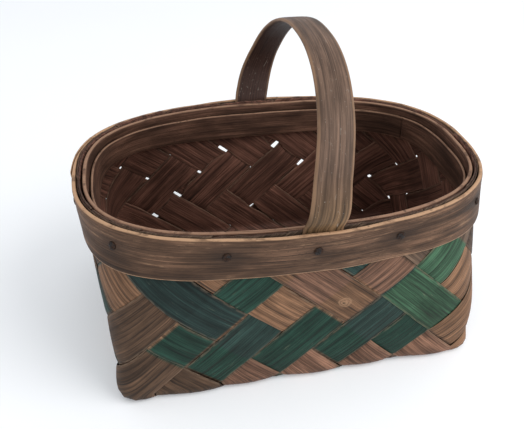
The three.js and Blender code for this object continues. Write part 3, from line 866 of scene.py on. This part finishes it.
class Shader:
    """A material's node tree, with short calls for the nodes that the woods share."""

    def __init__(self, name):
        self.material = bpy.data.materials.new(name)
        self.material.use_nodes = True
        self.tree = self.material.node_tree
        self.bsdf = self.tree.nodes["Principled BSDF"]
        self.bsdf.inputs["Specular IOR Level"].default_value = 0.16

    def add(self, kind, settings=None, **inputs):
        """A node, with its inputs given by name, or as i0, i1 and so on by number."""
        node = self.tree.nodes.new(kind)
        for key, value in (settings or {}).items():
            setattr(node, key, value)
        for key, value in inputs.items():
            self.set(node, key.replace("_", " "), value)
        return node

    def set(self, node, key, value):
        socket = node.inputs[int(key[1:]) if key[0] == "i" and key[1:].isdigit() else key]
        if isinstance(value, bpy.types.NodeSocket):
            self.tree.links.new(value, socket)
        else:
            socket.default_value = value

    def attribute(self, name, output="Fac"):
        return self.add("ShaderNodeAttribute", {"attribute_name": name}).outputs[output]

    def noise(self, coordinates, scale, detail=4.0, roughness=0.55, distortion=0.0):
        stretched = self.add("ShaderNodeMapping", Vector=coordinates, Scale=scale).outputs[0]
        node = self.add("ShaderNodeTexNoise", Vector=stretched, Scale=1.0, Detail=detail,
                        Roughness=roughness, Distortion=distortion)
        return node.outputs["Fac"]

    def ramp(self, value, low, high, out_low=0.0, out_high=1.0):
        """Maps low to high softly onto the two outer values."""
        node = self.add("ShaderNodeMapRange", {"interpolation_type": "SMOOTHSTEP"}, Value=value)
        numbers = {"From Min": low, "From Max": high, "To Min": out_low, "To Max": out_high}
        for key, number in numbers.items():
            node.inputs[key].default_value = number
        return node.outputs[0]

    def math(self, operation, a, b=0.0):
        node = self.add("ShaderNodeMath", {"operation": operation}, i0=a, i1=b)
        return node.outputs[0]

    def blend(self, share, a, b, mode="MIX"):
        node = self.add("ShaderNodeMix", {"data_type": "RGBA", "blend_type": mode}, i0=share, i6=a, i7=b)
        return node.outputs[2]

    def shade(self, colour, value):
        """Colour times a grey value."""
        grey = self.add("ShaderNodeCombineColor", i0=value, i1=value, i2=value).outputs[0]
        return self.blend(1.0, colour, grey, "MULTIPLY")

    def finish(self, colour, roughness, height, distance):
        """Wires colour, roughness and bump into the surface, and gives the material back."""
        self.set(self.bsdf, "Base Color", colour)
        self.set(self.bsdf, "Roughness", roughness)
        bump = self.add("ShaderNodeBump", Height=height)
        bump.inputs["Strength"].default_value = 1.0
        bump.inputs["Distance"].default_value = distance
        self.set(self.bsdf, "Normal", bump.outputs[0])
        return self.material


def rgba(colour):
    return (*colour, 1.0)


def splint_material():
    s = Shader("aged_splint")
    uv = s.add("ShaderNodeUVMap", {"uv_map": "grain"}).outputs[0]
    fibres = s.noise(uv, (22, 900, 1), 5, 0.6)
    streaks = s.noise(uv, (6, 210, 1), 3, 0.5, 0.4)
    ridges = s.noise(uv, (9, 420, 1), 2, 0.5)
    blotches = s.noise(uv, (26, 60, 1), 4, 0.6)
    specks = s.noise(uv, (120, 700, 1), 2, 0.5)
    edge = s.attribute("edge")
    paint = s.attribute("paint")
    tint = s.attribute("tint", "Color")
    colour = s.shade(tint, s.ramp(streaks, 0.32, 0.68, 0.62, 1.4))
    colour = s.shade(colour, s.ramp(fibres, 0.34, 0.66, 0.52, 1.42))
    colour = s.shade(colour, s.ramp(blotches, 0.3, 0.7, 0.78, 1.2))
    # Dirt in the deepest grain, and pale dry wood where paint has rubbed off the ridges.
    colour = s.blend(s.ramp(ridges, 0.42, 0.3, 0.0, 0.6), colour, rgba((0.012, 0.009, 0.007)))
    scuffs = s.noise(uv, (55, 520, 1), 4, 0.65)
    rubbed = s.ramp(s.math("ADD", scuffs, s.math("MULTIPLY", blotches, 0.5)), 0.9, 1.02)
    rubbed = s.math("MULTIPLY", rubbed, paint)
    colour = s.blend(s.math("MULTIPLY", rubbed, 0.55), colour, rgba((0.14, 0.15, 0.1)))
    worn = s.math("MULTIPLY", s.ramp(edge, 0.86, 1.0), s.ramp(specks, 0.35, 0.6))
    colour = s.blend(s.math("MULTIPLY", worn, 0.4), colour, rgba((0.26, 0.18, 0.12)))
    knot = s.attribute("knot")
    rings = s.math("SINE", s.math("MULTIPLY", knot, 21.0))
    ringed = s.math("MULTIPLY", s.ramp(knot, 1.0, 0.5), s.ramp(rings, -0.6, 0.6, 0.35, 1.0))
    ringed = s.math("MULTIPLY", ringed, s.math("SUBTRACT", 1.0, paint))
    colour = s.blend(s.math("MULTIPLY", ringed, 0.85), colour, rgba((0.36, 0.21, 0.12)))
    heart = s.math("MULTIPLY", s.ramp(knot, 0.42, 0.2), 0.9)
    colour = s.blend(heart, colour, rgba((0.015, 0.01, 0.007)))
    roughness = s.ramp(fibres, 0.3, 0.7, 0.5, 0.72)
    height = s.math("ADD", s.math("MULTIPLY", ridges, 0.7), s.math("MULTIPLY", fibres, 0.4))
    return s.finish(colour, roughness, height, 0.0011)


def hoop_material(name, base, pale, pale_share):
    s = Shader(name)
    uv = s.add("ShaderNodeUVMap", {"uv_map": "grain"}).outputs[0]
    fibres = s.noise(uv, (16, 1100, 1), 5, 0.62)
    streaks = s.noise(uv, (5, 240, 1), 3, 0.5, 0.5)
    blotches = s.noise(uv, (14, 45, 1), 4, 0.6)
    scuffs = s.noise(uv, (45, 320, 1), 4, 0.65)
    edge = s.attribute("edge")
    stain = s.attribute("stain")
    dark = rgba([c * 0.72 for c in base])
    light = rgba([c * 1.3 for c in base])
    colour = s.blend(s.ramp(streaks, 0.3, 0.72), dark, light)
    colour = s.shade(colour, s.ramp(fibres, 0.34, 0.66, 0.55, 1.35))
    colour = s.shade(colour, s.ramp(blotches, 0.34, 0.66, 0.52, 1.3))
    cracks = s.noise(uv, (11, 620, 1), 2, 0.5, 0.2)
    colour = s.blend(s.ramp(cracks, 0.38, 0.28, 0.0, 0.75), colour, rgba((0.014, 0.009, 0.007)))
    rubbed = s.math("MULTIPLY", s.ramp(scuffs, 0.55, 0.72), s.ramp(blotches, 0.4, 0.65))
    colour = s.blend(s.math("MULTIPLY", rubbed, pale_share), colour, rgba(pale))
    worn = s.math("MULTIPLY", s.ramp(edge, 0.93, 1.0), s.ramp(scuffs, 0.35, 0.5, 0.3, 1.0))
    colour = s.blend(s.math("MULTIPLY", worn, 0.9), colour, rgba([c * 1.25 for c in pale]))
    specks = s.noise(uv, (260, 900, 1), 2, 0.5)
    pits = s.math("MULTIPLY", s.ramp(specks, 0.62, 0.68), s.ramp(blotches, 0.35, 0.6))
    colour = s.blend(s.math("MULTIPLY", pits, 0.6), colour, rgba((0.02, 0.013, 0.01)))
    rust = s.math("MULTIPLY", stain, s.ramp(fibres, 0.25, 0.6, 0.55, 1.0))
    colour = s.blend(s.math("MULTIPLY", rust, 0.85), colour, rgba((0.025, 0.016, 0.012)))
    roughness = s.ramp(fibres, 0.3, 0.7, 0.48, 0.68)
    height = s.math("ADD", s.math("MULTIPLY", streaks, 0.6), s.math("MULTIPLY", fibres, 0.45))
    return s.finish(colour, roughness, height, 0.0007)


def handle_material():
    s = Shader("handle_wood")
    uv = s.add("ShaderNodeUVMap", {"uv_map": "grain"}).outputs[0]
    fibres = s.noise(uv, (14, 1300, 1), 6, 0.62)
    streaks = s.noise(uv, (4, 260, 1), 3, 0.5, 0.4)
    blotches = s.noise(uv, (12, 60, 1), 4, 0.6)
    specks = s.noise(uv, (500, 900, 1), 2, 0.5)
    scratches = s.noise(uv, (35, 120, 1), 3, 0.7, 3.5)
    edge = s.attribute("edge")
    up = s.attribute("height")
    low = rgba((0.17, 0.1, 0.05))
    high = rgba((0.142, 0.088, 0.061))
    colour = s.blend(s.ramp(up, 0.19, 0.25), low, high)
    colour = s.shade(colour, s.ramp(streaks, 0.3, 0.7, 0.62, 1.3))
    colour = s.shade(colour, s.ramp(fibres, 0.34, 0.66, 0.62, 1.3))
    colour = s.shade(colour, s.ramp(blotches, 0.32, 0.68, 0.6, 1.25))
    cracks = s.noise(uv, (8, 700, 1), 2, 0.5, 0.2)
    colour = s.blend(s.ramp(cracks, 0.37, 0.28, 0.0, 0.7), colour, rgba((0.016, 0.011, 0.009)))
    # Painted shade: the bow's inner face, the side under the arch, is coloured a dark brown.
    under = s.attribute("under")
    painted_inner_shade = s.shade(rgba((0.048, 0.025, 0.019)), s.ramp(fibres, 0.34, 0.66, 0.6, 1.4))
    colour = s.blend(s.ramp(under, 0.2, 0.8), colour, painted_inner_shade)
    scratch = s.math("MULTIPLY", s.ramp(scratches, 0.63, 0.66), s.ramp(blotches, 0.5, 0.6))
    marks = s.math("MAXIMUM", scratch, s.ramp(specks, 0.7, 0.74))
    colour = s.blend(s.math("MULTIPLY", marks, 0.5), colour, rgba((0.45, 0.4, 0.34)))
    worn = s.math("MULTIPLY", s.ramp(edge, 0.86, 0.98), s.ramp(blotches, 0.3, 0.55, 0.35, 1.0))
    colour = s.blend(s.math("MULTIPLY", worn, 0.6), colour, rgba((0.34, 0.2, 0.115)))
    roughness = s.ramp(fibres, 0.3, 0.7, 0.42, 0.62)
    height = s.math("ADD", s.math("MULTIPLY", streaks, 0.5), s.math("MULTIPLY", fibres, 0.5))
    return s.finish(colour, roughness, height, 0.0006)


def nail_material():
    s = Shader("iron_nail")
    s.bsdf.inputs["Metallic"].default_value = 0.7
    place = s.add("ShaderNodeTexCoord").outputs["Object"]
    pits = s.noise(place, (900, 900, 900), 4, 0.6)
    rust = s.noise(place, (350, 350, 350), 3, 0.6)
    colour = s.blend(s.ramp(rust, 0.4, 0.62), rgba((0.03, 0.026, 0.025)), rgba((0.055, 0.03, 0.02)))
    colour = s.shade(colour, s.ramp(pits, 0.3, 0.7, 0.6, 1.4))
    return s.finish(colour, s.ramp(rust, 0.3, 0.7, 0.45, 0.85), pits, 0.0004)


def floor_material():
    s = Shader("floor")
    place = s.add("ShaderNodeTexCoord").outputs["Object"]
    mottle = s.noise(place, (3, 3, 3), 2, 0.5)
    colour = s.blend(mottle, rgba((0.9, 0.91, 0.92)), rgba((0.92, 0.925, 0.93)))
    s.bsdf.inputs["Emission Color"].default_value = (0.9, 0.95, 1.0, 1.0)
    s.bsdf.inputs["Emission Strength"].default_value = 0.09
    return s.finish(colour, s.ramp(mottle, 0.3, 0.7, 0.75, 0.85), mottle, 0.0001)


# ---- camera, floor and light ----

def add_camera():
    place = Vector((-132.05, -497.12, 491.91)) * MM
    yaw, pitch, roll = (math.radians(a) for a in (13.09, 36.43, 1.51))
    forward = Vector((math.sin(yaw) * math.cos(pitch), math.cos(yaw) * math.cos(pitch), -math.sin(pitch)))
    level = Vector((math.cos(yaw), -math.sin(yaw), 0))
    rise = level.cross(forward)
    right = math.cos(roll) * level + math.sin(roll) * rise
    up = -math.sin(roll) * level + math.cos(roll) * rise
    turn = Matrix((right, up, -forward)).transposed().to_4x4()
    data = bpy.data.cameras.new("camera")
    data.sensor_width = 36
    data.lens = 41.25
    data.clip_end = 30
    camera = bpy.data.objects.new("camera", data)
    camera.matrix_world = Matrix.Translation(place) @ turn
    bpy.context.scene.collection.objects.link(camera)
    bpy.context.scene.camera = camera


def add_light(name, place, aim, size, power):
    data = bpy.data.lights.new(name, "AREA")
    data.shape = "DISK"
    data.size = size
    data.energy = power
    light = bpy.data.objects.new(name, data)
    light.location = place
    light.rotation_euler = (Vector(aim) - Vector(place)).to_track_quat("-Z", "Y").to_euler()
    bpy.context.scene.collection.objects.link(light)


def add_studio():
    mesh = bpy.data.meshes.new("floor")
    half = 12.0
    corners = [(-half, -half, 0), (half, -half, 0), (half, half, 0), (-half, half, 0)]
    mesh.from_pydata(corners, [], [(0, 1, 2, 3)])
    floor = bpy.data.objects.new("floor", mesh)
    bpy.context.scene.collection.objects.link(floor)
    mesh.materials.append(floor_material())
    world = bpy.data.worlds.new("studio")
    world.use_nodes = True
    world.node_tree.nodes["Background"].inputs[0].default_value = (0.94, 0.965, 1.0, 1.0)
    world.node_tree.nodes["Background"].inputs[1].default_value = 0.85
    bpy.context.scene.world = world
    add_light("key", (1.25, -0.75, 1.6), (0, 0, 0.1), 1.6, 22)
    add_light("fill", (-1.2, -1.5, 1.3), (0, 0, 0.1), 1.6, 4)
    bpy.context.scene.view_settings.view_transform = "Standard"


# ---- the basket ----

add_camera()
add_studio()
SPLINT_WOOD = splint_material()
OUTER_WOOD = hoop_material("hoop_wood", (0.115, 0.063, 0.038), (0.4, 0.24, 0.14), 0.8)
INNER_WOOD = hoop_material("inner_hoop_wood", (0.11, 0.055, 0.036), (0.26, 0.15, 0.095), 0.45)
STRIPS = LONG_CELLS + SHORT_CELLS
for strip_number in range(STRIPS):
    for strip_group in (1, 2):
        build_splint(Splint(strip_group, strip_number - (STRIPS - 1) // 2), SPLINT_WOOD)

build_hoop("outer_hoop", "rim_hoop_outer", OUTER_WOOD, SANDWICH + OUTER_GAP, HOOP_THICKNESS,
           RIM_HEIGHT, HOOP_BOTTOM, 0.686, True, 0.9, 11)
build_hoop("inner_hoop", "rim_hoop_inner", INNER_WOOD, -SANDWICH - INNER_GAP - HOOP_THICKNESS,
           HOOP_THICKNESS - 0.2, RIM_HEIGHT - 0.5, HOOP_BOTTOM + 2, 0.93, False, 0.9, 23)
build_hoop("inner_band", "rim_band_inner", INNER_WOOD,
           -SANDWICH - INNER_GAP - GAP - HOOP_THICKNESS - BAND_THICKNESS - LAP_TIP,
           BAND_THICKNESS, BAND_TOP, BAND_BOTTOM, 0.33, False, 0.5, 37)
build_handle(handle_material())
IRON = nail_material()
for nail_number, nail_distance in enumerate(NAILS, 1):
    build_nail(nail_number, nail_distance, IRON)
